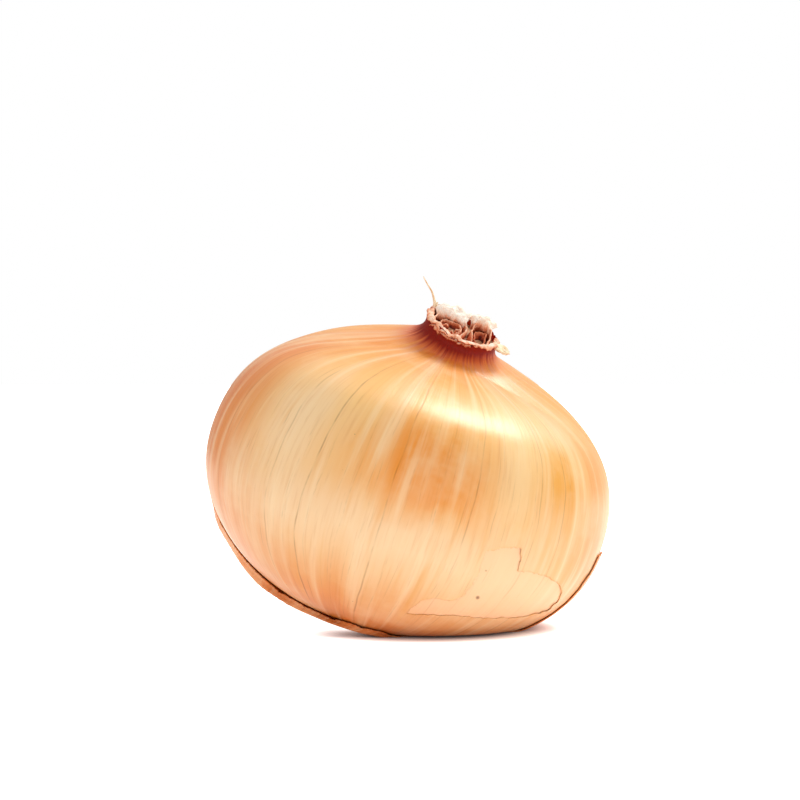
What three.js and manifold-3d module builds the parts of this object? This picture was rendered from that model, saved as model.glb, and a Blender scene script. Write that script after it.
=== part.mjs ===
// A dry-skinned bulb onion, lying as it comes to rest on a table: its neck leans to the right and
// towards the front, and its underside is pressed to a small flat spot. Millimetres, +Z up. The origin
// is on the table, in the middle of the onion as seen from above. Each piece is modelled upright about
// the bulb's own axis, with the belly at height 0, and the whole onion is then leaned over.
import * as THREE from "three";
import { mergeVertices } from "three/addons/utils/BufferGeometryUtils.js";
import Module from "manifold-3d";

const wasm = await Module();
wasm.setup();

// The onion in its outer skin.
const bellyRadius = 42; // half the greatest width
const crownHeight = 33.3; // from the belly up to the foot of the neck
const baseDepth = 28.6; // from the belly down to the ring round the roots
const rootDimple = 2.2; // how deep the root plate sits inside that ring
const rootRadius = 5.5; // the opening in the skins round the roots
const crownFullness = 0.91; // how far the belly's curve reaches up the crown, as a share of its height
const baseFullness = 0.65; // the same below the belly
const ovalShare = 0.045; // how far the belly departs from round
const ovalTurn = 50; // direction of the belly's long axis, in degrees from the right
const bulgeShare = 0.01; // how much fuller the belly is on one side
const bulgeTurn = 90; // direction of that side, in degrees from the right

// The dry skins.
const skinThickness = 0.4;
const clearance = 0.5; // between pieces that lie against each other
const looseFlare = 2.6; // how far the split edge of the loose skin stands away at the left

// The neck.
const neckRadius = 8; // half its width across the onion
const neckFlatness = 0.2; // how much thinner it is front to back
const neckSweep = 8; // height over which the crown sweeps up into the neck
const neckBendFront = 17; // degrees that the neck bends over towards the front
const neckBendRight = 4; // and towards the right
const sheathHeight = 1.4; // the outer skin above the neck's foot, at its middle
const sheathSlant = 0.6; // how much higher it stands at the back left than at the middle
// The two dried sheaths rolled up inside it: shares of the neck's radius, and a height.
const leftRoll = { across: -0.31, halfWidth: 0.53, halfDepth: 0.55, height: 3.3, opensAt: -20 };
const rightRoll = { across: 0.56, halfWidth: 0.28, halfDepth: 0.46, height: 2.8, opensAt: 110 };
const rollWall = 0.9;

// The dried leaf ends on the neck's rim.
const strandRadius = 0.35;
const strandLength = 6;
const flakeLength = 2.8;
const flakeWidth = 2;
const flakeThickness = 0.5;

// The root tuft.
const rootPlateThickness = 0.8;
const rootStubRadius = 0.45;
const rootStubLength = 1.8;
const rootRings = [
  { share: 0.25, count: 4 },
  { share: 0.8, count: 10 },
];

// How it lies.
const leanRight = 18.5; // degrees
const leanFront = 5; // degrees
const pressDepth = 3.4; // how much of the underside is pressed flat

// Fineness of the facets.
const sides = 48; // round the bulb
const dimpleSteps = 3;
const baseSteps = 9; // root ring to belly
const crownSteps = 12; // belly to neck
const rollSegments = 10;
const threadSegments = 3;

// The faces of each layer, as distances outside the onion's surface.
const bulbFace = -skinThickness - clearance;
const skinInner = -skinThickness;
const skinOuter = 0;
const looseInner = clearance;
const looseOuter = clearance + skinThickness;

const neckFoot = crownHeight;
const rimHeight = neckFoot + sheathHeight;
const far = 4 * bellyRadius; // well clear of the whole onion

const point = (x, y) => new THREE.Vector2(x, y);
const radians = THREE.MathUtils.degToRad;
const smooth = THREE.MathUtils.smoothstep; // smooth(x, low, high) rises from 0 to 1
const lean = new THREE.Euler(radians(leanFront), radians(leanRight), 0, "YXZ");
const leaned = new THREE.Matrix4().makeRotationFromEuler(lean);
const upright = leaned.clone().invert();

// ---- Solids ----

// A closed geometry as a solid that can be cut and joined.
function solid(geometry) {
  const bare = geometry.clone();
  bare.deleteAttribute("normal");
  bare.deleteAttribute("uv");
  const merged = mergeVertices(bare, 1e-4);
  return new wasm.Manifold(
    new wasm.Mesh({
      numProp: 3,
      vertProperties: merged.attributes.position.array,
      triVerts: new Uint32Array(merged.index.array),
    }),
  );
}

// A solid as a geometry.
function geometryOf(made) {
  const mesh = made.getMesh();
  const geometry = new THREE.BufferGeometry();
  geometry.setAttribute("position", new THREE.BufferAttribute(mesh.vertProperties, 3));
  geometry.setIndex(new THREE.BufferAttribute(mesh.triVerts, 1));
  return geometry;
}

// Moves each vertex of a geometry by move(vertex).
function reshaped(geometry, move) {
  const places = geometry.getAttribute("position");
  const vertex = new THREE.Vector3();
  for (let i = 0; i < places.count; i++) {
    vertex.fromBufferAttribute(places, i);
    move(vertex);
    places.setXYZ(i, vertex.x, vertex.y, vertex.z);
  }
  return geometry;
}

// A profile of (radius, height) points, turned about the upright axis.
function turned(profile) {
  return new THREE.LatheGeometry(profile, sides).rotateX(Math.PI / 2);
}

// ---- The onion's form ----

// Bends the neck over: from half way up its sweep it moves sideways with height, and its rings tip.
function bendNeck(vertex) {
  const high = Math.max(0, vertex.z - crownHeight + neckSweep / 2);
  const tipped = smooth(vertex.z, crownHeight - 2 * neckSweep, crownHeight);
  const { x, y } = vertex;
  const near = (place) => THREE.MathUtils.clamp(place, -neckRadius, neckRadius);
  vertex.x += high * Math.tan(radians(neckBendRight));
  vertex.y -= high * Math.tan(radians(neckBendFront));
  vertex.z += tipped * near(y) * Math.tan(radians(neckBendFront));
  vertex.z -= tipped * near(x) * Math.tan(radians(neckBendRight));
}

// Makes a round piece as uneven as the onion is: the belly a little longer one way and fuller on one
// side, the neck thinner front to back and bent over.
function makeUneven(vertex) {
  const neck = smooth(vertex.z, crownHeight - 2 * neckSweep, crownHeight);
  const body = smooth(Math.hypot(vertex.x, vertex.y), rootRadius, bellyRadius / 2) * (1 - neck);
  const angle = Math.atan2(vertex.y, vertex.x);
  const oval = ovalShare * Math.cos(2 * (angle - radians(ovalTurn)));
  const swell = 1 + body * (oval + bulgeShare * Math.cos(angle - radians(bulgeTurn)));
  vertex.x *= swell;
  vertex.y *= swell * (1 - neckFlatness * neck);
  bendNeck(vertex);
}

// The outline from the edge of the root opening to the foot of the neck, moved out by `out`.
function outline(out) {
  const ring = 1.8 * rootRadius;
  const brow = (rootRadius + ring) / 2;
  const dimple = new THREE.CubicBezierCurve(
    point(rootRadius, -baseDepth + rootDimple),
    point(brow, -baseDepth + rootDimple),
    point(brow, -baseDepth),
    point(ring, -baseDepth),
  );
  const base = new THREE.CubicBezierCurve(
    point(ring, -baseDepth),
    point(THREE.MathUtils.lerp(ring, bellyRadius, 0.36), -baseDepth),
    point(bellyRadius, -baseDepth * baseFullness),
    point(bellyRadius, 0),
  );
  const crown = new THREE.CubicBezierCurve(
    point(bellyRadius, 0),
    point(bellyRadius, crownHeight * crownFullness),
    point(neckRadius, crownHeight - neckSweep),
    point(neckRadius, crownHeight),
  );
  const points = [];
  for (const [curve, steps] of [[dimple, dimpleSteps], [base, baseSteps], [crown, crownSteps]])
    for (let i = points.length ? 1 : 0; i <= steps; i++) {
      const along = curve.getTangentAt(i / steps);
      points.push(curve.getPointAt(i / steps).add(point(along.y, -along.x).multiplyScalar(out)));
    }
  return points;
}

// The height of the table under the middle of the belly.
function findTable() {
  const surface = reshaped(turned(outline(looseOuter)), makeUneven);
  surface.applyMatrix4(leaned).computeBoundingBox();
  return surface.boundingBox.min.z + pressDepth;
}
const table = findTable();

// A block under the level that a face at `out` is pressed to. The skins lie on each other, so each is
// pressed flat a little higher than the one outside it.
function pressBlock(out) {
  const block = new THREE.BoxGeometry(far, far, far);
  block.translate(0, 0, table + looseOuter - out - far / 2);
  return solid(block.applyMatrix4(upright));
}

// Everything inside the face at `out`, pressed flat below. It ends at the root plate or, with a
// shaft, goes on down through the root opening. `high` is its top in the neck, and moveRim(vertex)
// shapes that top.
function inside(out, high, { shaft = false, moveRim = () => {} } = {}) {
  const edge = outline(out);
  const foot = edge[0];
  const neck = edge.at(-1);
  const bottom = shaft ? [point(0, -far), point(foot.x, -far)] : [point(0, foot.y)];
  const wall = [1 / 3, 2 / 3, 1].map((share) => point(neck.x, neck.y + share * (high - neck.y)));
  const top = high > neck.y ? wall : [];
  const geometry = turned([...bottom, ...edge, ...top, point(0, high)]);
  reshaped(geometry, (vertex) => {
    moveRim(vertex);
    makeUneven(vertex);
  });
  return solid(geometry).subtract(pressBlock(out));
}

// ---- Outer skin ----

// Its rim stands higher at the back left, and is ragged.
function raggedRim(vertex) {
  const high = smooth(vertex.z, neckFoot, rimHeight);
  const angle = Math.atan2(vertex.y, vertex.x);
  const slant = sheathSlant * Math.sin(angle - Math.PI / 4);
  vertex.z += high * (slant + 0.3 * Math.sin(5 * angle) + 0.2 * Math.sin(11 * angle));
}

// The torn window low on the right of the front. Points are across and up from the lowest part of the
// front, as shares of the belly's radius.
function windowCutter() {
  const torn = [
    [-0.01, 0.12], [0.06, 0.19], [0.12, 0.2], [0.21, 0.185], [0.25, 0.2], [0.3, 0.26],
    [0.33, 0.34], [0.36, 0.42], [0.45, 0.43], [0.51, 0.43], [0.52, 0.39], [0.5, 0.32],
    [0.6, 0.3], [0.65, 0.28], [0.7, 0.245], [0.73, 0.19], [0.71, 0.14], [0.67, 0.1],
    [0.57, 0.08], [0.36, 0.085], [0.21, 0.11],
  ];
  const shape = new THREE.Shape(
    torn.map(([across, up]) => point(across * bellyRadius, table + looseOuter + up * bellyRadius)),
  );
  const block = new THREE.ExtrudeGeometry(shape, { depth: far, bevelEnabled: false });
  return solid(block.rotateX(Math.PI / 2).applyMatrix4(upright));
}

function outerSkinSolid() {
  const whole = inside(skinOuter, rimHeight, { moveRim: raggedRim });
  const hollow = inside(skinInner, rimHeight + bellyRadius, { shaft: true });
  return whole.subtract(hollow).subtract(windowCutter());
}

// ---- Loose skin ----

// Its split edge seen from above, as shares of the belly's radius: from the left, round under the
// front of the flat spot, to the right. The skin lies behind it.
const splitEdge = new THREE.SplineCurve([
  point(-1.6, 0.06), point(-1.3, 0.03), point(-1, -0.02), point(-0.8, -0.15), point(-0.55, -0.28),
  point(-0.3, -0.43), point(-0.14, -0.45), point(0.04, -0.36), point(0.3, -0.28), point(0.55, -0.28),
  point(0.72, -0.27), point(0.85, -0.2), point(1, -0.08), point(1.3, 0.06), point(1.6, 0.16),
]).getPoints(48).map((share) => share.multiplyScalar(bellyRadius));

// Its torn top seen from the front: low at both sides, higher and ragged at the back.
const tornTop = new THREE.SplineCurve([
  point(-1.6, -0.3), point(-1.3, -0.28), point(-0.95, -0.26), point(-0.7, -0.08), point(-0.45, -0.14),
  point(-0.2, 0.12), point(0.1, 0.16), point(0.3, -0.02), point(0.6, -0.1), point(0.85, -0.32),
  point(1.3, -0.36), point(1.6, -0.4),
]).getPoints(44).map((share) => share.multiplyScalar(bellyRadius));

// How far forward the split edge runs at a place across the onion.
function splitAt(across) {
  const next = Math.max(1, splitEdge.findIndex((place) => place.x > across));
  const [from, to] = [splitEdge[next - 1], splitEdge[next]];
  return THREE.MathUtils.mapLinear(across, from.x, to.x, from.y, to.y);
}

// Bends the skin out near its split edge, most low on the left.
function flareEdge(vertex) {
  vertex.applyMatrix4(leaned);
  const nearEdge = 1 - smooth(vertex.y - splitAt(vertex.x), 0, 0.3 * bellyRadius);
  const sideways = smooth(-vertex.x / bellyRadius, -0.1, 0.25);
  const low = 0.1 + 0.9 * smooth(-vertex.z / bellyRadius, 0.2, 0.5);
  const reach = looseFlare * nearEdge * sideways * low;
  const outward = point(vertex.x, vertex.y).normalize().multiplyScalar(reach);
  vertex.add(new THREE.Vector3(outward.x, outward.y, 0)).applyMatrix4(upright);
}

function looseSkinGeometry() {
  const wide = splitEdge.at(-1).x;
  const behind = new THREE.Shape([...splitEdge, point(wide, far), point(-wide, far)]);
  const below = new THREE.Shape([point(-wide, -far), point(wide, -far), ...tornTop.slice().reverse()]);
  const options = { depth: 2 * far, bevelEnabled: false };
  const back = new THREE.ExtrudeGeometry(behind, options).translate(0, 0, -far);
  const under = new THREE.ExtrudeGeometry(below, options).rotateX(Math.PI / 2).translate(0, far, 0);
  const shell = inside(looseOuter, neckFoot)
    .subtract(inside(looseInner, neckFoot + bellyRadius, { shaft: true }))
    .intersect(solid(back.applyMatrix4(upright)))
    .intersect(solid(under.applyMatrix4(upright)));
  return reshaped(geometryOf(shell), flareEdge);
}

// ---- Neck ----

// A dried sheath rolled into an open scroll, standing on the bulb's top.
function rollGeometry(roll) {
  const [halfWidth, halfDepth] = [roll.halfWidth * neckRadius, roll.halfDepth * neckRadius];
  const [start, end] = [radians(roll.opensAt + 25), radians(roll.opensAt + 335)];
  const band = new THREE.Shape();
  band.absellipse(0, 0, halfWidth, halfDepth, start, end, false, 0);
  band.absellipse(0, 0, halfWidth - rollWall, halfDepth - rollWall, end, start, true, 0);
  const geometry = new THREE.ExtrudeGeometry(band, {
    depth: roll.height, steps: 4, curveSegments: rollSegments, bevelEnabled: false,
  });
  return reshaped(geometry, (vertex) => {
    const angle = Math.atan2(vertex.y, vertex.x);
    const high = vertex.z / roll.height;
    vertex.z += high * (0.12 * roll.height * Math.sin(angle + 0.6) + 0.3 * Math.sin(4 * angle));
    vertex.x += roll.across * neckRadius;
    vertex.z += neckFoot + clearance;
    bendNeck(vertex);
  });
}

// Where the outer skin's rim stands, at an angle round the neck.
function rimAt(angle) {
  const rim = new THREE.Vector3(neckRadius * Math.cos(angle), neckRadius * Math.sin(angle), rimHeight);
  raggedRim(rim);
  makeUneven(rim);
  return rim;
}

// A thread of dried leaf curving up from the rim at the back left.
function strandGeometry() {
  const foot = rimAt(radians(155));
  foot.z += clearance + strandRadius;
  const path = new THREE.QuadraticBezierCurve3(
    foot,
    new THREE.Vector3(-0.3, 0.1, 0.42).multiplyScalar(strandLength).add(foot),
    new THREE.Vector3(-0.62, 0.15, 0.77).multiplyScalar(strandLength).add(foot),
  );
  const round = new THREE.Shape().absarc(0, 0, strandRadius, 0, 2 * Math.PI);
  return new THREE.ExtrudeGeometry(round, {
    extrudePath: path, steps: 6, curveSegments: threadSegments, bevelEnabled: false,
  });
}

// A small pointed leaf end, flat, with its point along +Y.
function flakeGeometry() {
  const flake = new THREE.Shape();
  flake.moveTo(-0.35 * flakeWidth, 0);
  flake.lineTo(0.35 * flakeWidth, 0);
  flake.quadraticCurveTo(0.75 * flakeWidth, 0.5 * flakeLength, 0, flakeLength);
  flake.quadraticCurveTo(-0.55 * flakeWidth, 0.5 * flakeLength, -0.35 * flakeWidth, 0);
  return new THREE.ExtrudeGeometry(flake, {
    depth: flakeThickness, curveSegments: 5, bevelEnabled: false,
  });
}

// ---- Root tuft ----

// The root plate under the bulb, with the stubs of its dried roots. None reaches below the table.
function rootTuftSolid() {
  const top = outline(bulbFace)[0].y - clearance;
  const radius = outline(looseInner)[0].x - clearance;
  const plate = new THREE.CylinderGeometry(radius, radius, rootPlateThickness, 24);
  const round = new THREE.Shape().absarc(0, 0, rootStubRadius, 0, 2 * Math.PI);
  let tuft = solid(plate.rotateX(Math.PI / 2).translate(0, 0, top - rootPlateThickness / 2));
  for (const ring of rootRings)
    for (let i = 0; i < ring.count; i++) {
      const angle = (2 * Math.PI * i) / ring.count + ring.share;
      const reach = ring.share * (radius - rootStubRadius);
      const length = rootStubLength * (1 + 0.2 * Math.sin(5 * i));
      const at = (down, turn = 0) =>
        new THREE.Vector3(reach * Math.cos(angle + turn), reach * Math.sin(angle + turn), top - down);
      const path = new THREE.QuadraticBezierCurve3(
        at(rootPlateThickness / 2),
        at(rootPlateThickness + length / 2),
        at(rootPlateThickness + length, 0.2 + 0.1 * Math.sin(3 * i)),
      );
      const stub = new THREE.ExtrudeGeometry(round, {
        extrudePath: path, steps: 3, curveSegments: threadSegments, bevelEnabled: false,
      });
      tuft = tuft.add(solid(stub));
    }
  return tuft.subtract(pressBlock(looseOuter));
}

// ---- Meshes ----

const materials = {
  bulb: new THREE.MeshStandardMaterial({ color: 0xf3c98c, roughness: 0.4, metalness: 0 }),
  outerSkin: new THREE.MeshStandardMaterial({ color: 0xe9a04c, roughness: 0.35, metalness: 0 }),
  looseSkin: new THREE.MeshStandardMaterial({ color: 0xc8743a, roughness: 0.45, metalness: 0 }),
  dryNeck: new THREE.MeshStandardMaterial({ color: 0x9c5a3c, roughness: 0.8, metalness: 0 }),
  dryLeaf: new THREE.MeshStandardMaterial({ color: 0xe8cf9c, roughness: 0.8, metalness: 0 }),
  roots: new THREE.MeshStandardMaterial({ color: 0xa88660, roughness: 0.9, metalness: 0 }),
};

const onion = new THREE.Group();
onion.rotation.copy(lean);

function addPiece(name, geometry, material) {
  const mesh = new THREE.Mesh(geometry, material);
  mesh.name = name;
  onion.add(mesh);
  return mesh;
}

addPiece("bulb", geometryOf(inside(bulbFace, neckFoot)), materials.bulb);
addPiece("outer_skin", geometryOf(outerSkinSolid()), materials.outerSkin);
addPiece("loose_skin", looseSkinGeometry(), materials.looseSkin);
addPiece("neck_roll_left", rollGeometry(leftRoll), materials.dryNeck);
addPiece("neck_roll_right", rollGeometry(rightRoll), materials.dryNeck);
addPiece("neck_strand", strandGeometry(), materials.dryLeaf);
const flake = addPiece("neck_tip", flakeGeometry(), materials.dryLeaf);
addPiece("root_tuft", geometryOf(rootTuftSolid()), materials.roots);

// The flake hangs outside the rim, its point outward and a little down.
const flakeAngle = radians(-2);
flake.rotation.set(radians(-30), 0, flakeAngle - Math.PI / 2, "ZXY");
flake.position.copy(rimAt(flakeAngle));
flake.position.x += clearance + flakeThickness;
flake.position.z -= flakeThickness;

// The onion stands on the table, with the middle of its outline over the origin.
const outer = new THREE.Box3().setFromObject(onion, true);
const middle = outer.getCenter(new THREE.Vector3());
onion.position.set(-middle.x, -middle.y, -table);

const group = new THREE.Group();
group.name = "onion";
group.add(onion);
export default group;
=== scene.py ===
import math

import bmesh
import bpy
import numpy as np
from mathutils import Euler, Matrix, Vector, noise
from mathutils.geometry import interpolate_bezier


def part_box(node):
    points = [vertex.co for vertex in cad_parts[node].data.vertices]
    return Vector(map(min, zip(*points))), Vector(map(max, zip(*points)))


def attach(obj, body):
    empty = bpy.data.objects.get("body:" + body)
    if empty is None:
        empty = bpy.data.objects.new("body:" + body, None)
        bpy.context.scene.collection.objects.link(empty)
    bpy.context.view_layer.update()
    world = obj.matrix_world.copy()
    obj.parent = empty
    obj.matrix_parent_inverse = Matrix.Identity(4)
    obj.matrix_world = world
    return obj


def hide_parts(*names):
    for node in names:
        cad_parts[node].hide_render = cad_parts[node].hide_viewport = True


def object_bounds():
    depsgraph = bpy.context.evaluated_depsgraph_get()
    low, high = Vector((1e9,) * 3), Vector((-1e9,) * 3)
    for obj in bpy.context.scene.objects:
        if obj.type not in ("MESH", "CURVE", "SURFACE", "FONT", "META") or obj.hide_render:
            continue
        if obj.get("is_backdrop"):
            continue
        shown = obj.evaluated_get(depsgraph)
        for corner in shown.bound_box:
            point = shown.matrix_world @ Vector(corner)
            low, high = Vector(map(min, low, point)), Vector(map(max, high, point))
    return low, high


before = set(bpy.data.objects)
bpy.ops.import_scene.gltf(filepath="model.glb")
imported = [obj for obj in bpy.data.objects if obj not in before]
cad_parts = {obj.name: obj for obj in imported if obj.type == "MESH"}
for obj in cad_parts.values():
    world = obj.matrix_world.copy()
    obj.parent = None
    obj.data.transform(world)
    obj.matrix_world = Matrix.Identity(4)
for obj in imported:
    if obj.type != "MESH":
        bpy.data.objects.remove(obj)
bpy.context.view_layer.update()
scene = bpy.context.scene
noise.seed_set(7)  # without it, the crumples of the neck and the roots would change from run to run

# ---- How the onion lies, and the camera ----
# The onion's axis, from root to neck, leans to the right and a little to the front. Its belly is its
# widest ring, whose middle is placed from the outer skin's box. The camera stands just above it.
belly_rise = 0.0282  # from the foot of the box up to the belly's middle
box_off_middle = 0.0003  # how far right and back the middle of the box lies from the belly's
lean_front, lean_right = math.radians(5), math.radians(18.5)
camera_back, camera_up = 0.5193, 0.0272
camera_tilt, camera_turn = math.radians(88.957), math.radians(0.1785)

skin_low, skin_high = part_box("outer_skin")
belly = (skin_low + skin_high) / 2 - Vector((box_off_middle, box_off_middle, 0))
belly.z = skin_low.z + belly_rise
lean = Euler((lean_front, lean_right, 0), "XYZ").to_matrix()

camera = bpy.data.objects.new("camera", bpy.data.cameras.new("camera"))
scene.collection.objects.link(camera)
scene.camera = camera
camera.data.lens = 114.1
camera.data.clip_start = 0.05
camera.location = belly + Vector((0, -camera_back, camera_up))
camera.rotation_euler = (camera_tilt, 0, camera_turn)

# ---- Table, light and surroundings ----
# A white table that runs back into a white room, under one large soft light high at the right and
# behind, with the room's own light from all sides.
def node(tree, kind, *inputs, **settings):
    """Adds a shader node. Inputs go to its sockets in order: a socket is linked and a value is set."""
    made = tree.nodes.new("ShaderNode" + kind)
    for name, value in settings.items():
        setattr(made, name, value)
    for socket, value in zip(made.inputs, inputs):
        if isinstance(value, bpy.types.NodeSocket):
            tree.links.new(value, socket)
        elif value is not None:
            socket.default_value = value
    return made


def new_material(name):
    """An empty material and its output node."""
    made = bpy.data.materials.new(name)
    made.use_nodes = True
    made.node_tree.nodes.clear()
    return made, node(made.node_tree, "OutputMaterial")


def shader_in_relief(tree, end, height, strength, depth):
    """A shader with a raised surface: how strong the relief is, and how deep in metres."""
    bump = node(tree, "Bump")
    bump.inputs["Strength"].default_value = strength
    bump.inputs["Distance"].default_value = depth
    tree.links.new(height, bump.inputs["Height"])
    shader = node(tree, "BsdfPrincipled")
    tree.links.new(bump.outputs[0], shader.inputs["Normal"])
    tree.links.new(shader.outputs[0], end.inputs[0])
    return shader


white = (1, 1, 1, 1)
low_glow, high_glow = 0.4, 0.98  # the room's light from the floor's height and from above
world = bpy.data.worlds.new("room")
scene.world = world
world.use_nodes = True
tree = world.node_tree
tree.nodes.clear()
seen = node(tree, "Background", white, 1.0)
upward = node(tree, "SeparateXYZ", node(tree, "TexCoord").outputs["Generated"])
glow = node(tree, "MapRange", upward.outputs["Z"], -0.1, 0.8, low_glow, high_glow)
lit = node(tree, "Background", white, glow.outputs[0])
ray = node(tree, "LightPath")
room = node(tree, "MixShader", ray.outputs["Is Camera Ray"], lit.outputs[0], seen.outputs[0])
node(tree, "OutputWorld", room.outputs[0])
scene.view_settings.view_transform = "Standard"
scene.view_settings.look = "None"

# The table gives off a little light of its own, so that it looks as white as the room. It fades out in
# the narrow gap under the onion.
gap_reach = 0.004
table_material, end = new_material("table")
tree = table_material.node_tree
grain = node(tree, "TexNoise", node(tree, "TexCoord").outputs["Object"], None, 900.0, 3.0).outputs[0]
paint = shader_in_relief(tree, end, grain, 0.05, 0.0002)
paint.inputs["Base Color"].default_value = (0.86, 0.86, 0.86, 1)
paint.inputs["Roughness"].default_value = 0.6
paint.inputs["Emission Color"].default_value = white
ray = node(tree, "LightPath")
glow = node(tree, "Math", ray.outputs["Is Camera Ray"], 0.6, 0.5, operation="MULTIPLY_ADD")
open_air = node(tree, "AmbientOcclusion")
open_air.inputs["Distance"].default_value = gap_reach
glow = node(tree, "Math", glow.outputs[0], open_air.outputs["AO"], operation="MULTIPLY")
tree.links.new(glow.outputs[0], paint.inputs["Emission Strength"])

table_half = 4.0
bm = bmesh.new()
bmesh.ops.create_grid(bm, x_segments=8, y_segments=8, size=table_half)
mesh = bpy.data.meshes.new("table")
bm.to_mesh(mesh)
bm.free()
mesh.materials.append(table_material)
table = bpy.data.objects.new("table", mesh)
scene.collection.objects.link(table)
table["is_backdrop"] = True

to_softbox = Vector((0.455, 0.39, 0.8)) * 0.9
softbox = bpy.data.objects.new("softbox", bpy.data.lights.new("softbox", "AREA"))
scene.collection.objects.link(softbox)
softbox.data.shape = "RECTANGLE"
softbox.data.size, softbox.data.size_y = 0.28, 0.36
softbox.data.energy = 5.8
softbox.location = belly + to_softbox
softbox.rotation_euler = (belly - softbox.location).to_track_quat("-Z", "Y").to_euler()

# ---- Clinging skin ----
# The pale skin that lies tight on the flesh. It shows in the torn window of the outer skin and round
# the root plate, and closes the bulb under the dried neck.
belly_radius = 0.042
crown_height, base_depth = 0.0333, 0.0286
neck_radius, neck_sweep = 0.0077, 0.008
root_radius, root_ring, root_dimple = 0.0055, 0.0099, 0.0022
bend_front, bend_right = math.tan(math.radians(17)), math.tan(math.radians(4))  # how the neck bends
resting = 0.0005  # how high the outer skin's flat spot lies on the skin under it
bulb_inset = 0.00013  # how far the bulb's surface lies inside the outer skin's
loose_outset = 0.00045  # how far the loose skin's surface lies outside it


def rise(value, low, high):
    """Goes smoothly from 0 to 1 as the value passes from low to high."""
    share = min(1.0, max(0.0, (value - low) / (high - low)))
    return share * share * (3 - 2 * share)


def outline(out):
    """The profile from the edge of the root opening up to the foot of the neck, moved out."""
    brow = (root_radius + root_ring) / 2
    top, low = root_dimple - base_depth, -base_depth
    curves = [
        (8, (root_radius, top), (brow, top), (brow, low), (root_ring, low)),
        (52, (root_ring, low), (0.0215, low), (belly_radius, 0.65 * low), (belly_radius, 0)),
        (
            80,
            (belly_radius, 0),
            (belly_radius, 0.91 * crown_height),
            (neck_radius, crown_height - neck_sweep),
            (neck_radius, crown_height),
        ),
    ]
    line = []
    for steps, *corners in curves:
        piece = interpolate_bezier(*[Vector((r, 0, z)) for r, z in corners], steps + 1)
        line += piece[1:] if line else piece
    moved = []
    for i, place in enumerate(line):
        along = line[min(i + 1, len(line) - 1)] - line[max(i - 1, 0)]
        moved.append(place + Vector((along.z, 0, -along.x)).normalized() * out)
    return moved


def bend_neck(place):
    """Bends the neck over to the front: it moves sideways with height, and its rings tip."""
    high = max(0.0, place.z - crown_height + neck_sweep / 2)
    tipped = rise(place.z, crown_height - 2 * neck_sweep, crown_height)
    x, y = [max(-neck_radius, min(neck_radius, side)) for side in (place.x, place.y)]
    drop = tipped * (y * bend_front - x * bend_right)
    return place + Vector((high * bend_right, -high * bend_front, drop))


def uneven(place):
    """Makes a point of a round onion part of this one: oval, faintly ribbed, its neck thin and bent."""
    neck = rise(place.z, crown_height - 2 * neck_sweep, crown_height)
    body = rise(math.hypot(place.x, place.y), root_radius, belly_radius / 2) * (1 - neck)
    angle = math.atan2(place.y, place.x)
    side = Vector((math.cos(angle), math.sin(angle), 0))
    oval = 0.045 * math.cos(2 * angle - math.radians(100)) + 0.01 * math.sin(angle)
    ribs = 0.004 * noise.noise(side * 5 + Vector((0, 0, place.z * 12)))
    ribs += 0.0022 * noise.noise(side * 15 + Vector((7, 0, place.z * 20)))
    swell = 1 + body * (oval + ribs)
    return bend_neck(Vector((place.x * swell, place.y * swell * (1 - 0.2 * neck), place.z)))


def as_it_lies(place):
    return belly + lean @ place


def spin_skin(profile, around, level, rim=None):
    """Turns a profile into a skin of the onion, pressed flat at a level. The place on the round onion,
    in belly radii, stays with each vertex."""
    made = bmesh.new()
    verts = [made.verts.new(place) for place in profile]
    edges = [made.edges.new(pair) for pair in zip(verts, verts[1:])]
    bmesh.ops.spin(
        made, geom=verts + edges, cent=(0, 0, 0), axis=(0, 0, 1), angle=2 * math.pi, steps=around,
        use_merge=True,
    )
    bmesh.ops.remove_doubles(made, verts=made.verts, dist=1e-7)
    bmesh.ops.recalc_face_normals(made, faces=made.faces)
    made.faces.ensure_lookup_table()
    far = max(made.faces, key=lambda face: face.calc_center_median().x)
    if far.normal.x < 0:
        bmesh.ops.reverse_faces(made, faces=made.faces)
    round_place = made.verts.layers.float_vector.new("round")
    made.verts.layers.float.new("torn")
    for vert in made.verts:
        vert[round_place] = vert.co / belly_radius
        place = as_it_lies(uneven(rim(vert.co) if rim else vert.co))
        vert.co = (place.x, place.y, max(place.z, level))
    return made


def add_piece(name, made, material, slot, *nodes):
    """Puts a finished mesh into the scene as a piece of the onion."""
    mesh = bpy.data.meshes.new(name)
    made.to_mesh(mesh)
    made.free()
    mesh.materials.append(material)
    mesh.shade_smooth()
    piece = bpy.data.objects.new(name, mesh)
    scene.collection.objects.link(piece)
    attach(piece, "root")
    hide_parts(*nodes)
    return piece


def tint(code, alpha=1.0):
    """A screen colour such as e9a04c as linear light."""
    parts = [int(code[i : i + 2], 16) / 255 for i in (0, 2, 4)]
    return tuple(c / 12.92 if c <= 0.04045 else ((c + 0.055) / 1.055) ** 2.4 for c in parts) + (alpha,)


def mixed(tree, share, first, second, mode="MIX"):
    """The colour between two, by a share."""
    made = node(tree, "Mix", share, data_type="RGBA", blend_type=mode, clamp_factor=True)
    for socket, value in ((made.inputs[6], first), (made.inputs[7], second)):
        if isinstance(value, bpy.types.NodeSocket):
            tree.links.new(value, socket)
        else:
            socket.default_value = value
    return made.outputs[2]


def calc(tree, operation, *values):
    return node(tree, "Math", *values, operation=operation).outputs[0]


def eased(tree, value, low, high, start=0.0, end=1.0):
    """Goes smoothly from start to end as the value passes from low to high."""
    made = node(tree, "MapRange", value, low, high, start, end, interpolation_type="SMOOTHSTEP")
    return made.outputs[0]


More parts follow.
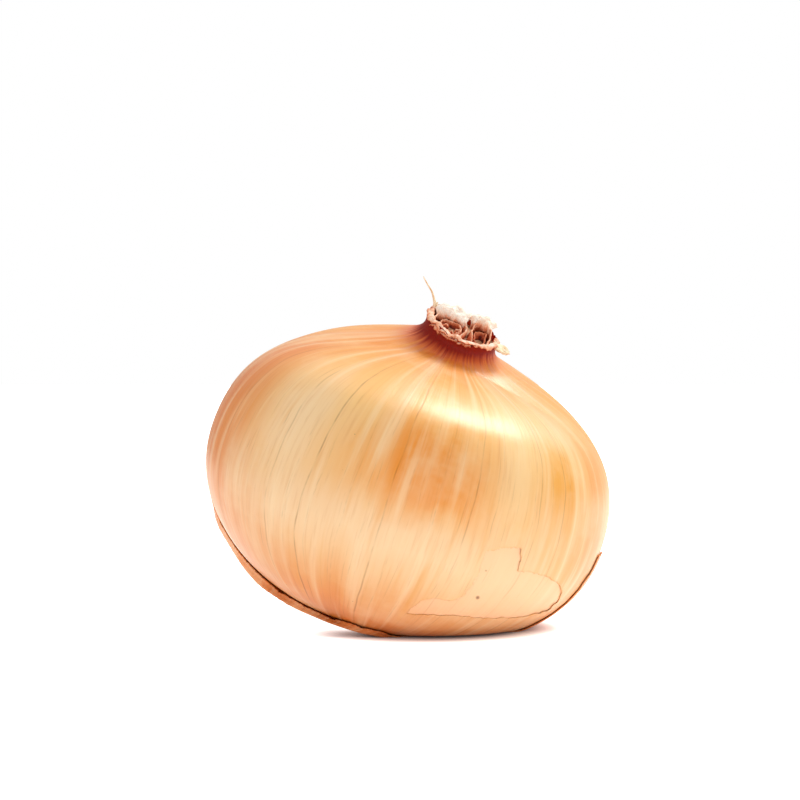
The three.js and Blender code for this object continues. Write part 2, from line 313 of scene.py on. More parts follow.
def new_group(name, given=()):
    """An empty node group that is given some sockets, and gives a colour, a roughness and a height."""
    made = bpy.data.node_groups.new(name, "ShaderNodeTree")
    results = (("Base Color", "Color"), ("Roughness", "Float"), ("Height", "Float"))
    for direction, sockets in (("INPUT", given), ("OUTPUT", results)):
        for label, kind in sockets:
            made.interface.new_socket(label, in_out=direction, socket_type="NodeSocket" + kind)
    return made


def end_group(tree, *results):
    """Links a node group's colour, roughness and height to its end."""
    end = tree.nodes.new("NodeGroupOutput")
    for socket, value in zip(end.inputs, results):
        tree.links.new(value, socket)


def graded(tree, value, stops):
    """The colour at a value, between stops of a value and a colour."""
    made = node(tree, "ValToRGB", value)
    while len(made.color_ramp.elements) < len(stops):
        made.color_ramp.elements.new(0.5)
    for element, (share, code) in zip(made.color_ramp.elements, stops):
        element.position = share
        element.color = tint(code)
    return made.outputs[0]


# The pattern of a dry onion skin, by the place on the round onion: colours from the root to the neck,
# streaks and fine veins that run from one to the other, faint blotches and a few dark specks.
skin_group = new_group("onion_skin", (("Cast", "Color"), ("Cast Share", "Float"), ("Vein Strength", "Float")))
tree = skin_group
given = tree.nodes.new("NodeGroupInput")
place = node(tree, "Attribute", attribute_name="round").outputs["Vector"]
x, y, z = node(tree, "SeparateXYZ", place).outputs
flat = node(tree, "CombineXYZ", x, y, 0.0).outputs[0]
radius = node(tree, "VectorMath", flat, operation="LENGTH").outputs["Value"]
side = node(tree, "VectorMath", flat, operation="NORMALIZE").outputs[0]
side_x, side_y, _ = node(tree, "SeparateXYZ", side).outputs
grid = node(tree, "CombineXYZ", side_x, side_y, z).outputs[0]


def streaks(around, along, detail, seed):
    """Noise drawn out from root to neck: how many streaks around and how broken along."""
    scaled = node(
        tree, "VectorMath", grid, (around, around, along), (seed, 0, seed), operation="MULTIPLY_ADD"
    )
    return node(tree, "TexNoise", scaled.outputs[0], None, 1.0, detail, 0.55).outputs[0]


broad = streaks(4.5, 0.8, 2.0, 3.0)
middle = streaks(15.0, 1.3, 3.0, 11.0)
fine = streaks(70.0, 5.0, 2.0, 23.0)
blotch = node(tree, "TexNoise", place, None, 3.2, 4.0, 0.6).outputs[0]
wander = node(tree, "TexNoise", place, None, 2.5, 2.0, 0.5).outputs[0]
angle = calc(tree, "ADD", calc(tree, "ARCTAN2", y, x), calc(tree, "MULTIPLY_ADD", wander, 0.06, -0.03))

# Many faint veins, one in each narrow slice of the onion, each broken in its own places. Their widths
# are in millimetres.
belly_mm = 1000 * belly_radius
veins = 0.0
for slices, width, strength in ((46.0, 0.1, 0.3), (101.0, 0.08, 0.2)):
    turn = calc(tree, "MULTIPLY_ADD", angle, slices / (2 * math.pi), slices)
    cell = calc(tree, "FLOOR", turn)
    chance = node(tree, "TexWhiteNoise", None, cell, noise_dimensions="1D")
    off = calc(tree, "MULTIPLY_ADD", chance.outputs["Value"], 0.6, 0.2)
    away = calc(tree, "ABSOLUTE", calc(tree, "SUBTRACT", calc(tree, "FRACT", turn), off))
    away = calc(tree, "MULTIPLY", calc(tree, "MULTIPLY", away, radius), belly_mm * 2 * math.pi / slices)
    line = eased(tree, away, width * 0.4, width * 1.7, 1.0, 0.0)
    along = node(tree, "CombineXYZ", cell, calc(tree, "MULTIPLY", z, 5.0), 0.0).outputs[0]
    broken = eased(tree, node(tree, "TexNoise", along, None, 1.0, 3.0, 0.7).outputs[0], 0.42, 0.62)
    line = calc(tree, "MULTIPLY", calc(tree, "MULTIPLY", line, broken), strength)
    veins = calc(tree, "MAXIMUM", veins, line)

# The few strong veins of the front, by their direction from the axis in degrees.
for degrees, strength in (
    (-116, 0.55), (-95, 0.5), (-127, 0.35), (-72, 0.4), (-50, 0.35), (-39, 0.4), (-150, 0.3),
    (-2, 0.3), (38, 0.45), (82, 0.35), (121, 0.5), (158, 0.35),
):
    away = calc(tree, "ABSOLUTE", calc(tree, "SUBTRACT", angle, math.radians(degrees)))
    away = calc(tree, "MULTIPLY", calc(tree, "MULTIPLY", away, radius), belly_mm)
    line = eased(tree, away, 0.05, 0.24, strength, 0.0)
    veins = calc(tree, "MAXIMUM", veins, line)
patchy = eased(tree, streaks(9.0, 7.0, 3.0, 41.0), 0.35, 0.62, 0.15, 0.85)
veins = calc(tree, "MULTIPLY", calc(tree, "MULTIPLY", veins, patchy), given.outputs["Vein Strength"])
veins = calc(tree, "MULTIPLY", veins, eased(tree, z, 0.52, 0.7, 1.0, 0.25))

# The ground colour, from the root (0) to the neck (1), is partly painted light. The pale peach of the
# lower half stands in for the white table's reflection and bounce. The deeper orange-brown of the
# very bottom is partly painted shade under the bulb.
root_end, neck_end = -0.7, 0.9
height = calc(tree, "MULTIPLY_ADD", calc(tree, "SUBTRACT", broad, 0.5), 0.28, z)
from_root = node(tree, "MapRange", height, root_end, neck_end).outputs[0]
ground_and_painted_light = (
    (0.0, "a8581c"), (0.05, "d87a34"), (0.1, "e48e4c"), (0.14, "e79c5e"), (0.19, "ecae78"),
    (0.25, "f1c08e"), (0.33, "f4cb9e"), (0.4, "f2c596"), (0.5, "f0b87c"), (0.58, "f1b878"),
    (0.69, "f4c07c"), (0.76, "f1b062"), (0.82, "eca048"), (0.87, "e88e3a"), (0.92, "dc742c"),
)
colour = graded(tree, from_root, ground_and_painted_light)

# Patches of deeper orange and of paler colour: middle direction and half width in degrees, lower
# and upper end in belly radii, share and colour. Some are painted light. The orange band at the
# middle of the front (-87) is painted shade, where the gloss shows the darker part of the room. The
# orange along the left edge (-163 and -141) is painted shade where the skin turns away. The pale
# patch high on the right (-32) is a painted highlight round the softbox's reflection.
for degrees, half_width, low_end, high_end, share, code in (
    (-87, 19, 0.06, 0.4, 0.95, "e98420"), (-163, 24, -0.4, 0.62, 0.95, "e0741a"),
    (-127, 11, 0.02, 0.45, 0.55, "fadcb2"), (-58, 9, 0.1, 0.6, 0.4, "f9d8a6"),
    (-40, 12, 0.18, 0.46, 0.75, "e89a30"), (-32, 24, 0.45, 0.62, 0.5, "f9dcae"),
    (-34, 15, -0.2, 0.14, 0.6, "eaa458"), (-141, 19, -0.7, -0.2, 0.7, "e28e54"),
    (-16, 15, -0.4, 0.5, 0.75, "e6944a"), (20, 14, -0.1, 0.5, 0.6, "e9903a"),
    (75, 17, 0.0, 0.45, 0.6, "ea9436"), (135, 15, -0.2, 0.4, 0.5, "e8903c"),
):
    away = calc(tree, "WRAP", calc(tree, "SUBTRACT", angle, math.radians(degrees)), math.pi, -math.pi)
    away = calc(tree, "ADD", calc(tree, "ABSOLUTE", away), calc(tree, "MULTIPLY_ADD", middle, 0.4, -0.2))
    patch = eased(tree, away, 0.0, math.radians(half_width * 1.5), share, 0.0)
    up = calc(tree, "ADD", z, calc(tree, "MULTIPLY_ADD", blotch, 0.4, -0.2))
    patch = calc(tree, "MULTIPLY", patch, eased(tree, up, low_end - 0.15, low_end + 0.15))
    patch = calc(tree, "MULTIPLY", patch, eased(tree, up, high_end - 0.15, high_end + 0.15, 1.0, 0.0))
    colour = mixed(tree, patch, colour, tint(code))

# Pale and orange streaks, blotches and fine lines over it.
colour = mixed(tree, eased(tree, middle, 0.45, 0.75, 0.0, 0.45), colour, tint("f9dab0"))
colour = mixed(tree, eased(tree, middle, 0.45, 0.25, 0.0, 0.4), colour, tint("e6963c"))
colour = mixed(tree, eased(tree, blotch, 0.48, 0.7, 0.0, 0.35), colour, tint("f3c596"))
colour = mixed(tree, eased(tree, broad, 0.5, 0.66, 0.0, 0.3), colour, tint("f5d0a4"))
colour = mixed(tree, eased(tree, fine, 0.5, 0.8, 0.0, 0.18), colour, tint("c9702e"))

# The red and wine bands round the foot of the neck, which start a little higher on the right. The
# red is the neck's own colour. The dark wine just under the rim's rolled lip is partly its own colour
# and partly painted shade.
neck_height = calc(tree, "ADD", z, calc(tree, "MULTIPLY_ADD", middle, 0.07, -0.055))
neck_height = calc(tree, "MULTIPLY_ADD", calc(tree, "MAXIMUM", side_x, 0.0), -0.03, neck_height)
colour = mixed(tree, eased(tree, neck_height, 0.655, 0.725, 0.0, 0.9), colour, tint("cc4a16"))
foot = eased(tree, neck_height, 0.695, 0.745)
colour = mixed(tree, calc(tree, "MULTIPLY", foot, 0.97), colour, tint("820a04"))

# Each skin's own cast, which is weaker at its underside, then the veins.
cast_share = calc(tree, "MULTIPLY", given.outputs["Cast Share"], eased(tree, z, -0.6, -0.35, 0.4, 1.0))
colour = mixed(tree, cast_share, colour, given.outputs["Cast"])
colour = mixed(tree, veins, colour, tint("7d3a0c"))

# Small brown specks by chance, and the few that stand out at the front. The second sort is as long from
# front to back as four times its width, so that it sits on the skin wherever that curves.
specks = node(tree, "TexVoronoi", place, None, 13.0, feature="F1").outputs
speck_chance = node(tree, "SeparateColor", specks["Color"]).outputs[0]
dots = eased(tree, specks["Distance"], 0.02, 0.05, 1.0, 0.0)
dots = calc(tree, "MULTIPLY", dots, calc(tree, "GREATER_THAN", speck_chance, 0.86))
colour = mixed(tree, calc(tree, "MULTIPLY", dots, 0.7), colour, tint("6b2f12"))
spot = node(tree, "TexCoord").outputs["Object"]
from_front = (1, 0.25, 1)
spot = node(tree, "VectorMath", spot, from_front, operation="MULTIPLY").outputs[0]
for offset, size in (
    ((0.01343, -0.0293, -0.01976), 0.0004), ((0.01494, -0.033, -0.01431), 0.00024),
    ((-0.0188, -0.0246, 0.0218), 0.0002), ((0.0016, -0.0335, 0.0132), 0.0002),
):
    spot_at = (belly + Vector(offset)) * Vector(from_front)
    away = node(tree, "VectorMath", spot, tuple(spot_at), operation="DISTANCE").outputs["Value"]
    dot = eased(tree, away, size * 0.7, size * 1.7, 0.85, 0.0)
    colour = mixed(tree, dot, colour, tint("5a2c0c"))

# The skin is browner along its torn edge.
torn = node(tree, "Attribute", attribute_name="torn").outputs["Fac"]
torn_share = calc(tree, "MULTIPLY", torn, calc(tree, "MULTIPLY", fine, 0.8))
colour = mixed(tree, torn_share, colour, tint("dc9a62"))

rough = calc(tree, "MULTIPLY_ADD", middle, 0.2, 0.27)
rough = calc(tree, "MULTIPLY_ADD", foot, 0.6, rough)
rough = calc(tree, "MULTIPLY_ADD", veins, 0.12, rough)
relief = calc(tree, "MULTIPLY_ADD", fine, 0.18, calc(tree, "MULTIPLY", middle, 0.9))
relief = calc(tree, "MULTIPLY_ADD", veins, -0.25, relief)
crinkle = node(tree, "TexNoise", place, None, 26.0, 3.0, 0.55).outputs[0]
relief = calc(tree, "MULTIPLY_ADD", crinkle, 0.16, relief)
end_group(tree, colour, rough, relief)


def skin_material(name, cast, share, vein_strength, strength, coat):
    """A dry skin in the pattern above, with its own cast of colour, veins, relief and gloss."""
    made, end = new_material(name)
    tree = made.node_tree
    pattern = tree.nodes.new("ShaderNodeGroup")
    pattern.node_tree = skin_group
    for socket, value in zip(pattern.inputs, (tint(cast), share, vein_strength)):
        socket.default_value = value
    skin = shader_in_relief(tree, end, pattern.outputs["Height"], strength, 0.0003)
    skin.inputs["Coat Weight"].default_value = coat
    skin.inputs["Coat Roughness"].default_value = 0.28
    skin.inputs["Specular IOR Level"].default_value = 0.3
    skin.inputs["Specular Tint"].default_value = (1.0, 0.78, 0.52, 1)
    skin.inputs["Coat Tint"].default_value = (1.0, 0.9, 0.76, 1)
    skin.inputs["Subsurface Weight"].default_value = 0.12
    skin.inputs["Subsurface Radius"].default_value = (1.0, 0.45, 0.2)
    skin.inputs["Subsurface Scale"].default_value = 0.002
    tree.links.new(pattern.outputs["Base Color"], skin.inputs["Base Color"])
    tree.links.new(pattern.outputs["Roughness"], skin.inputs["Roughness"])
    return made


clinging_material = skin_material(
    "clinging_skin", cast="f3c49c", share=0.7, vein_strength=0.5, strength=0.35, coat=0.1
)
profile = outline(-bulb_inset)
profile = [Vector((0, 0, profile[0].z)), *profile, Vector((0, 0, crown_height))]
bm = spin_skin(profile, 160, resting + 0.0002)  # just clear of the outer skin's flat spot
add_piece("bulb", bm, clinging_material, "pale_under_skin", "bulb")

# ---- Outer skin ----
# The golden skin that covers the whole onion: torn open in a long window low on the right, ragged at
# the top of the neck, and open round the roots.
def ragged(points, depth, size, amount):
    """Makes a torn line ragged: changes the depth of the points near it by a noise of some size."""
    depth = depth.copy()
    for i in np.flatnonzero(np.abs(depth) < 5 * amount):
        spot = Vector(points[i]) / size
        rough_edge = noise.noise(spot) + 0.5 * noise.noise(spot * 2.7) + 0.3 * noise.noise(spot * 6.1)
        depth[i] += amount * rough_edge
    return depth


def within(points, loop):
    """How deep flat points lie inside a closed line; less than 0 is outside it."""
    start = np.array(loop)
    step = np.roll(start, -1, axis=0) - start
    out = points[:, None] - start
    share = np.clip((out * step).sum(-1) / (step * step).sum(-1), 0, 1)
    near = np.linalg.norm(out - share[..., None] * step, axis=-1).min(1)
    above = start[:, 1] > points[:, None, 1]
    crossed = above != np.roll(above, -1, axis=1)
    left = out[..., 0] < out[..., 1] * step[:, 0] / np.where(step[:, 1] == 0, 1e-12, step[:, 1])
    return np.where((crossed & left).sum(1) % 2 == 1, near, -near)


def in_order(edges):
    """Edges by their places, which is the same order in every run."""
    return sorted(edges, key=lambda edge: tuple(edge.verts[0].co + edge.verts[1].co))


def tear(made, depth_of, lift):
    """Tears a skin along the line where depth_of(points) is 0 and keeps what is deeper. Beside the
    line the mesh is made finer, its vertices are moved onto the line, and on the right its edge lifts
    a little and is marked as torn."""
    lifted_width, frayed_width = 0.0009, 0.0003
    def depths():
        made.verts.index_update()
        return depth_of(np.array([vert.co for vert in made.verts]))

    for reach in (0.0016, 0.0007):
        depth = depths()
        near = [
            edge for edge in made.edges
            if min(abs(depth[v.index]) for v in edge.verts) < reach
            or depth[edge.verts[0].index] * depth[edge.verts[1].index] < 0
        ]
        bmesh.ops.subdivide_edges(made, edges=in_order(near), cuts=1, use_grid_fill=True)
    depth = depths()
    round_place = made.verts.layers.float_vector["round"]
    torn = made.verts.layers.float["torn"]
    for edge in in_order(made.edges):
        a, b = edge.verts
        if depth[a.index] * depth[b.index] < 0:
            share = depth[a.index] / (depth[a.index] - depth[b.index])
            if share > 0.5:
                a, b, share = b, a, 1 - share
            a.co = a.co.lerp(b.co, share)
            a[round_place] = a[round_place].lerp(b[round_place], share)
            depth[a.index] = 0
    outside = [face for face in made.faces if min(depth[v.index] for v in face.verts) < 0]
    kept = {vert: depth[vert.index] for vert in made.verts}
    bmesh.ops.delete(made, geom=outside, context="FACES")
    made.normal_update()
    moves = []
    for vert in made.verts:
        edge = math.exp(-kept[vert] / lifted_width)
        if edge > 0.02:
            clear = rise(vert.co.x - belly.x + 0.6 * vert.co.z, 0.022, 0.03)
            vert[torn] = math.exp(-kept[vert] / frayed_width) * clear
            uplift = lift * edge * (0.6 + noise.noise(vert.co / 0.004)) * clear
            moves.append((vert, vert.co + vert.normal * uplift))
    for vert, place in moves:
        vert.co = place


def thicken(piece, thickness):
    """Gives a skin its thickness, inward."""
    solid = piece.modifiers.new("thickness", "SOLIDIFY")
    solid.thickness = thickness
    solid.offset = -1
    solid.use_rim = True


rim_height = crown_height + 0.0013
rim_steps = 8


def ragged_rim(place):
    """The skin's top stands higher at the back left, and is ragged."""
    high = rise(place.z, crown_height, rim_height)
    angle = math.atan2(place.y, place.x)
    slant = 0.0006 * math.sin(angle - math.pi / 4)
    notches = 0.0003 * math.sin(5 * angle) + 0.0002 * math.sin(11 * angle)
    notches += 0.0004 * noise.noise(Vector((math.cos(angle), math.sin(angle), 0)) * 9)
    return place + Vector((0, 0, high * (slant + notches)))


# The torn window's outline on the front: right of the belly's middle and up from the skin's lowest
# point, in belly radii.
window = [
    (-0.01, 0.12), (0.06, 0.19), (0.12, 0.2), (0.21, 0.185), (0.25, 0.2), (0.3, 0.26), (0.33, 0.34),
    (0.36, 0.42), (0.45, 0.43), (0.51, 0.43), (0.52, 0.39), (0.5, 0.32), (0.6, 0.3), (0.65, 0.28),
    (0.7, 0.245), (0.73, 0.19), (0.71, 0.14), (0.67, 0.1), (0.57, 0.08), (0.36, 0.085), (0.21, 0.11),
]


def outside_window(points):
    """How far points of the skin are outside the torn window."""
    flat = (points[:, [0, 2]] - (belly.x, skin_low.z)) / belly_radius
    depth = -within(flat, window) * belly_radius
    depth[points[:, 1] > belly.y] = 1
    return ragged(points, depth, 0.0022, 0.0004)


golden_material = skin_material(
    "golden_skin", cast="f0a254", share=0.0, vein_strength=0.85, strength=0.5, coat=0.15
)
wall = [
    Vector((neck_radius, 0, crown_height + (rim_height - crown_height) * i / rim_steps))
    for i in range(1, rim_steps + 1)
]
bm = spin_skin(outline(0) + wall, 216, resting, ragged_rim)
tear(bm, outside_window, 0.00016)
outer_skin = add_piece("outer_skin", bm, golden_material, "golden_skin", "outer_skin")
thicken(outer_skin, 0.0001)

# ---- Loose skin ----
# The oldest skin, darker and split: it still wraps the back and the underside. Its split edge runs
# round the front of the flat spot, and stands away at the lower left.
# Both lines go from left to right, in belly radii from the belly's middle: the split edge gives how far
# back it is, and the torn top how high.
split_edge = [
    (-1.6, 0.06), (-1.3, 0.03), (-1, -0.02), (-0.8, -0.15), (-0.55, -0.28), (-0.3, -0.43),
    (-0.14, -0.45), (0.04, -0.34), (0.3, -0.2), (0.55, -0.14), (0.72, -0.14), (0.85, -0.15),
    (1, -0.08), (1.3, 0.06), (1.6, 0.16),
]
torn_top = [
    (-1.6, -0.04), (-1.3, -0.03), (-0.95, -0.02), (-0.7, 0.04), (-0.45, -0.08), (-0.2, 0.12),
    (0.1, 0.16), (0.3, -0.02), (0.6, -0.1), (0.85, -0.32), (1.3, -0.36), (1.6, -0.4),
]


def behind_split(points):
    """How far points are behind the split edge, in metres."""
    across = (points[:, 0] - belly.x) / belly_radius
    return points[:, 1] - belly.y - np.interp(across, *zip(*split_edge)) * belly_radius


def in_loose_skin(points):
    across = (points[:, 0] - belly.x) / belly_radius
    under = np.interp(across, *zip(*torn_top)) * belly_radius - (points[:, 2] - belly.z)
    return ragged(points, np.minimum(behind_split(points), under), 0.003, 0.0008)


loose_flare = 0.0027  # how far the split edge stands away at the lower left
russet_material = skin_material(
    "russet_skin", cast="ea8654", share=0.6, vein_strength=0.9, strength=0.5, coat=0.1
)
bm = spin_skin(outline(loose_outset), 216, 0)
tear(bm, in_loose_skin, 0.0)
for vert, behind in zip(bm.verts, behind_split(np.array([vert.co for vert in bm.verts]))):
    x, y = vert.co.x - belly.x, vert.co.y - belly.y
    down = (belly.z - vert.co.z) / belly_radius
    low = 0.45 * rise(down, 0.0, 0.2) + 0.55 * rise(down, 0.25, 0.5)
    sideways = rise(-x / belly_radius, -0.1, 0.25)
    lip = (0.06 + 0.94 * rise(behind, 0, 0.003)) * (1 - rise(behind, 0.003, 0.013))
    lip *= 1 + 0.25 * noise.noise(vert.co / 0.008)
    vert.co += Vector((x, y, 0)).normalized() * loose_flare * lip * sideways * low
loose_skin = add_piece("loose_skin", bm, russet_material, "russet_skin", "loose_skin")
thicken(loose_skin, 0.00022)

# ---- Dried neck: the left roll ----
# The leaf sheaths that dried and rolled together inside the neck's rim. The left and larger roll is
# an open scroll with crumpled curls in it, half covered by a pale sheet folded over it from the back.
def sheet(made, columns, rows, place):
    """Adds a sheet to the neck. For u and w from 0 to 1, place(u, w) gives a point of it in millimetres
    from just under the middle of the neck's foot, and how pale the sheet is there."""
    cloth = bmesh.ops.create_grid(made, x_segments=columns, y_segments=rows, size=0.5)["verts"]
    weave = made.verts.layers.float_vector["weave"]
    tone_and_shade = made.verts.layers.float["tone_and_shade"]
    for vert in cloth:
        u, w = vert.co.x + 0.5, vert.co.y + 0.5
        across, back, up, pale = place(u, w)
        spot = Vector((across, back, up)) / 1000
        rough = noise.noise_vector(spot * 620) * 0.00045 + noise.noise_vector(spot * 2300) * 0.00014
        vert[weave] = (u * columns, w * rows * 0.15, columns)
        # The paleness carries the sheet's painted shade as well as its own tone.
        vert[tone_and_shade] = pale + 0.16 * noise.noise(spot * 1400)
        vert.co = as_it_lies(bend_neck(spot + rough + Vector((0, 0, crown_height - 0.0007))))


def new_sheets():
    made = bmesh.new()
    made.verts.layers.float_vector.new("weave")
    made.verts.layers.float.new("tone_and_shade")
    return made


def scroll(made, middle, half, turns, heights, pale, tighten=0.15):
    """A sheet rolled about an upright line: half is its half width and depth, and turns its first and
    last direction in degrees. It stands higher at the back than at the front, and pales upward: its
    darker lower part is painted shade inside the neck."""
    front, back = heights

    def place(u, w):
        angle = math.radians(turns[0] + (turns[1] - turns[0]) * u)
        narrow = 1 - tighten * u
        top = front + (back - front) * (0.5 + 0.5 * math.sin(angle))
        top += 0.45 * noise.noise(Vector((u * 9, middle[0], half[0])))
        lean_in = 1 - 0.1 * w * w
        across = middle[0] + half[0] * narrow * lean_in * math.cos(angle)
        deep = middle[1] + half[1] * narrow * lean_in * math.sin(angle)
        return across, deep, -0.2 + (top + 0.2) * w, pale * (0.25 + 0.75 * w**1.5)

    sheet(made, int(abs(turns[1] - turns[0]) / 5), 12, place)


# The pattern of a dried sheath: dark low down and where a sheet turns under, which is painted
# shade of the neck's hollows and folds, pale at its top, with fibres along it.
sheath_group = new_group("dried_sheath")
tree = sheath_group
weave = node(tree, "Attribute", attribute_name="weave").outputs["Vector"]
fibres = node(tree, "TexNoise", weave, None, 0.9, 3.0, 0.6).outputs[0]
spot = node(tree, "TexCoord").outputs["Object"]
mottle = node(tree, "TexNoise", spot, None, 1500.0, 3.0, 0.6).outputs[0]
pale = node(tree, "Attribute", attribute_name="tone_and_shade").outputs["Fac"]
pale = calc(tree, "ADD", pale, calc(tree, "MULTIPLY_ADD", fibres, 0.36, -0.18))
pale = calc(tree, "ADD", pale, calc(tree, "MULTIPLY_ADD", mottle, 0.3, -0.15))
sheath_colours = (
    (0.0, "300a06"), (0.2, "6a1c0e"), (0.36, "b84c22"), (0.5, "de7c50"), (0.68, "f0ae88"),
    (0.84, "f6d4ba"), (1.0, "fbecdc"),
)
rough = calc(tree, "MULTIPLY_ADD", fibres, 0.3, 0.55)
relief = calc(tree, "MULTIPLY_ADD", mottle, 0.5, fibres)
end_group(tree, graded(tree, pale, sheath_colours), rough, relief)

sheath_material, end = new_material("dried_sheath")
tree = sheath_material.node_tree
pattern = tree.nodes.new("ShaderNodeGroup")
pattern.node_tree = sheath_group
sheath = shader_in_relief(tree, end, pattern.outputs["Height"], 0.8, 0.0002)
tree.links.new(pattern.outputs["Base Color"], sheath.inputs["Base Color"])
tree.links.new(pattern.outputs["Roughness"], sheath.inputs["Roughness"])


def hood(middle, half, heights, pale, depth):
    """The place function of a pale sheet folded over a roll from the back: it rises a little, comes
    forward, and its front edge turns down and under. Where it turns under it is darker: painted shade."""
    def place(u, w):
        side = 2 * u - 1
        fold = rise(w, 0.72, 1)
        across = middle[0] + half[0] * side * (1 - 0.18 * w) + 0.25 * math.sin(7 * w)
        forward = middle[1] + half[1] - depth * min(w, 0.82) / 0.82 + 0.5 * fold * fold
        up = heights[0] + (heights[1] - heights[0]) * math.sin(math.pi * min(1, 0.2 + 0.75 * w))
        up += -0.9 * side**2 - 0.9 * fold + 0.22 * math.sin(9 * side + 4 * w)
        return across, forward, up, pale * (1 - 0.45 * fold)

    return place


roll_thickness = 0.00028
bm = new_sheets()
scroll(bm, (-2.6, -0.9), (4.2, 4.3), (95, 470), (1.5, 3.2), 0.74)
scroll(bm, (-2.8, -1.3), (3.0, 2.9), (-50, 300), (1.5, 2.4), 0.66, 0.4)
scroll(bm, (-3.9, -2.0), (1.3, 1.5), (40, 330), (1.6, 1.9), 0.62, 0.5)
scroll(bm, (-1.1, -1.9), (1.1, 1.7), (200, 500), (1.6, 1.9), 0.66, 0.5)
sheet(bm, 40, 30, hood((-2.9, 0.9), (3.6, 3.9), (2.6, 4.1), 0.98, 3.8))
neck_left = add_piece("neck_roll_left", bm, sheath_material, "dried_sheath", "neck_roll_left")
thicken(neck_left, roll_thickness)

# ---- Dried neck: the right roll ----
# A narrower scroll beside it, with a tan hood at the back. Its inside shows orange-brown.
bm = new_sheets()
scroll(bm, (3.9, -0.9), (2.6, 4.0), (100, 470), (1.0, 3.8), 0.66)
scroll(bm, (3.7, -1.2), (1.7, 2.6), (-30, 300), (0.8, 2.4), 0.5, 0.4)
sheet(bm, 28, 24, hood((3.4, 0.8), (2.6, 3.3), (3.1, 4.5), 0.9, 2.6))
neck_right = add_piece("neck_roll_right", bm, sheath_material, "dried_sheath", "neck_roll_right")
thicken(neck_right, roll_thickness)

# ---- Neck rim ----
# The outer skin's own top has dried into a thick, ragged, salmon lip that runs round the left and the
# front of the neck and rolls outward.
def rim_place(first, last, lift, pale):
    """The place function of a lip, from a first to a last direction in degrees."""
    def place(u, w):
        angle = math.radians(first + (last - first) * u)
        side = Vector((math.cos(angle), math.sin(angle), 0))
        top = 2.3 + 0.6 * math.sin(angle - math.pi / 4) + lift + 0.35 * noise.noise(side * 6)
        roll = rise(w, 0.55, 1)
        out = 7.0 + 0.9 * roll + 0.2 * noise.noise(side * 5 + Vector((0, 0, 3 * w)))
        hang = 0.5 + 0.35 * noise.noise(side * 8) + 0.35 * noise.noise(side * 21)
        up = 0.2 + (top - 0.2) * min(1, w / 0.65) - hang * rise(w, 0.65, 1)
        # The lip is darker low down by the neck and where it hangs over: painted shade.
        fade = 0.4 + 0.6 * math.sin(math.pi * rise(w, 0.3, 1.15))
        return out * side.x, 0.8 * out * side.y, up, pale * fade

    return place


bm = new_sheets()
sheet(bm, 120, 14, rim_place(125, 368, 0.1, 0.78))
sheet(bm, 70, 10, rim_place(215, 290, -0.45, 0.8))
neck_rim = add_piece("neck_rim", bm, sheath_material, "dried_sheath", "outer_skin")
thicken(neck_rim, 0.00022)

# ---- Leaf strand ----
# A thread of dried leaf that stands up from a small pale flap at the back left of the rim.
leaf_material, end = new_material("dry_leaf")
tree = leaf_material.node_tree
spot = node(tree, "TexCoord").outputs["Object"]
grain = node(tree, "TexNoise", spot, None, 900.0, 4.0, 0.6).outputs[0]
leaf = shader_in_relief(tree, end, grain, 0.6, 0.00015)
leaf.inputs["Roughness"].default_value = 0.7
leaf_colour = mixed(tree, eased(tree, grain, 0.3, 0.7), tint("e3b684"), tint("f9e6c4"))
tree.links.new(leaf_colour, leaf.inputs["Base Color"])


def threads(lines, thickness):
    """A mesh of tapered threads, each along a list of (place, share of the thickness)."""
    curve = bpy.data.curves.new("threads", "CURVE")
    curve.dimensions = "3D"
    curve.bevel_depth = thickness
    curve.bevel_resolution = 2
    curve.use_fill_caps = True
    for line in lines:
        spline = curve.splines.new("NURBS")
        spline.points.add(len(line) - 1)
        for point, (place, share) in zip(spline.points, line):
            point.co = (*place, 1)
            point.radius = share
        spline.use_endpoint_u = True
        spline.order_u = 3
    holder = bpy.data.objects.new("threads", curve)
    scene.collection.objects.link(holder)
    bpy.context.view_layer.update()
    mesh = bpy.data.meshes.new_from_object(holder.evaluated_get(bpy.context.evaluated_depsgraph_get()))
    bpy.data.objects.remove(holder)
    made = bmesh.new()
    made.from_mesh(mesh)
    return made


def neck_point(across, back, up):
    """A point of the neck, in millimetres from the middle of its foot."""
    return as_it_lies(bend_neck(Vector((across, back, up)) / 1000 + Vector((0, 0, crown_height))))


strand_line = [
    (neck_point(-6.6, 2.6, 1.0), 1.8), (neck_point(-6.9, 2.7, 2.4), 1.3), (neck_point(-7.7, 3.0, 3.5), 0.8),
    (neck_point(-8.6, 3.2, 4.7), 0.6), (neck_point(-10.2, 3.5, 5.8), 0.5), (neck_point(-11.4, 3.6, 6.9), 0.3),
]
flap_line = [
    (neck_point(-7.3, 2.1, 1.0), 1.8), (neck_point(-6.9, 2.4, 2.0), 1.3), (neck_point(-6.7, 2.8, 3.2), 0.4),
]
bm = threads([strand_line, flap_line], 0.00032)
add_piece("neck_strand", bm, leaf_material, "dry_leaf", "neck_strand")

# ---- Leaf tip ----
# A small cream leaf end that hangs over the rim at the right.
def tip_place(u, w):
    side = (2 * u - 1) * (1 - w**4) ** 0.6 * (0.45 + 0.55 * math.sin(math.pi * min(1, 0.2 + 0.5 * w)))
    return 6.8 + 3.6 * w, -0.8 + 1.4 * side, 1.6 - 1.1 * w + 0.25 * side, 1.0


bm = new_sheets()
sheet(bm, 12, 20, tip_place)
tip = add_piece("neck_tip", bm, leaf_material, "dry_leaf", "neck_tip")
thicken(tip, 0.0004)

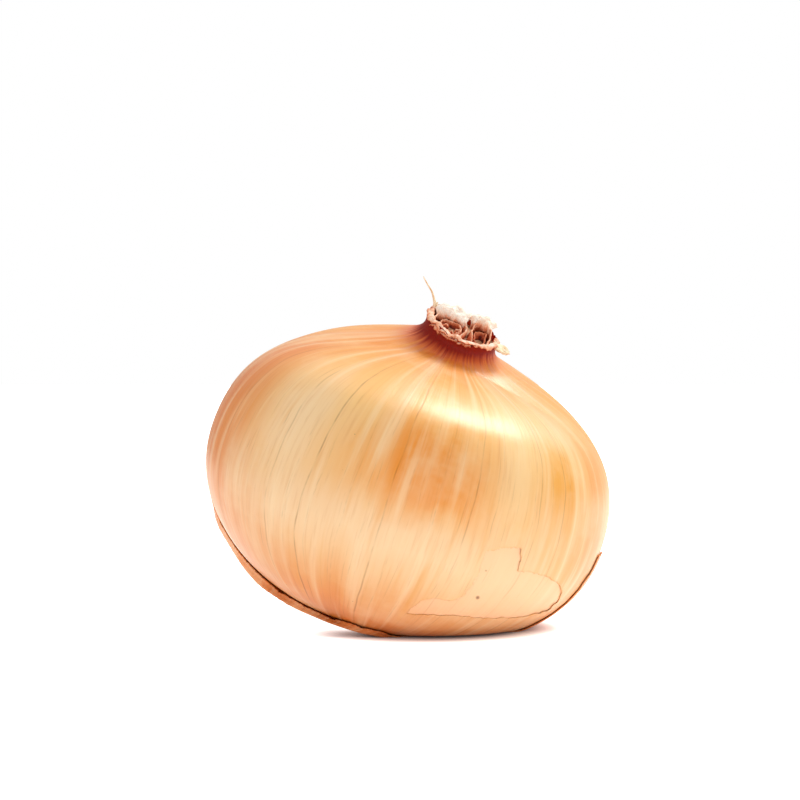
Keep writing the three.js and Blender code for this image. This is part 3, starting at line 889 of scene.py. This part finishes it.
# ---- Root tuft ----
# The dried root plate in its hollow under the bulb, with a mat of short curled roots.
root_material, end = new_material("dry_roots")
tree = root_material.node_tree
spot = node(tree, "TexCoord").outputs["Object"]
grain = node(tree, "TexNoise", spot, None, 1400.0, 5.0, 0.65).outputs[0]
root = shader_in_relief(tree, end, grain, 0.9, 0.0002)
root.inputs["Roughness"].default_value = 0.85
root_colour = mixed(tree, eased(tree, grain, 0.3, 0.7), tint("7c5a3a"), tint("cfae84"))
tree.links.new(root_colour, root.inputs["Base Color"])

# Rings of roots, by their radius in millimetres and how many. Each root curls and tapers downward, and
# none reaches the table.
least_height = 0.0006
root_length = 0.0019
plate_level = root_dimple - base_depth
roots = []
for ring, count in ((0.8, 6), (2.2, 12), (3.6, 18), (4.5, 20)):
    for i in range(count):
        start = 2 * math.pi * i / count + ring
        chance = noise.noise_vector(Vector((i * 1.7, ring * 3.1, 0.5)))
        turn, reach = start + 1.2 * chance.x, ring + 0.9 * chance.y
        line = []
        for step in range(6):
            w = step / 5
            around = start + (turn - start) * w + 0.5 * chance.z * math.sin(5 * w)
            out = (ring + (reach - ring) * w + 0.25 * math.sin(6 * w + i)) / 1000
            down = plate_level + 0.0002 - root_length * w * (0.8 + 0.35 * chance.y)
            spot = as_it_lies(Vector((out * math.cos(around), out * math.sin(around), down)))
            line.append((Vector((spot.x, spot.y, max(spot.z, least_height))), 1 - 0.55 * w))
        roots.append(line)
bm = threads(roots, 0.00024)
root_verts = set(bm.verts)

# The plate that they grow from, as half of its section: out from the axis and up from its level.
plate = [
    (0, 0.00008), (0.002, -0.00005), (0.0038, 0.00004), (0.0047, 0.0002), (0.0049, 0.0005), (0, 0.0008),
]
verts = [bm.verts.new((out, 0, plate_level + up)) for out, up in plate]
edges = [bm.edges.new(pair) for pair in zip(verts, verts[1:])]
bmesh.ops.spin(
    bm, geom=verts + edges, cent=(0, 0, 0), axis=(0, 0, 1), angle=2 * math.pi, steps=40, use_merge=True
)
disc = [vert for vert in bm.verts if vert not in root_verts]
for vert in disc:
    bumpy = 0.00012 * noise.noise(vert.co / 0.0009)
    vert.co = as_it_lies(vert.co + Vector((0, 0, bumpy)))
bmesh.ops.remove_doubles(bm, verts=disc, dist=1e-7)
bmesh.ops.recalc_face_normals(bm, faces=bm.faces)
add_piece("root_tuft", bm, root_material, "dry_roots", "root_tuft")

# ---- Size, and the end ----
low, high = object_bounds()
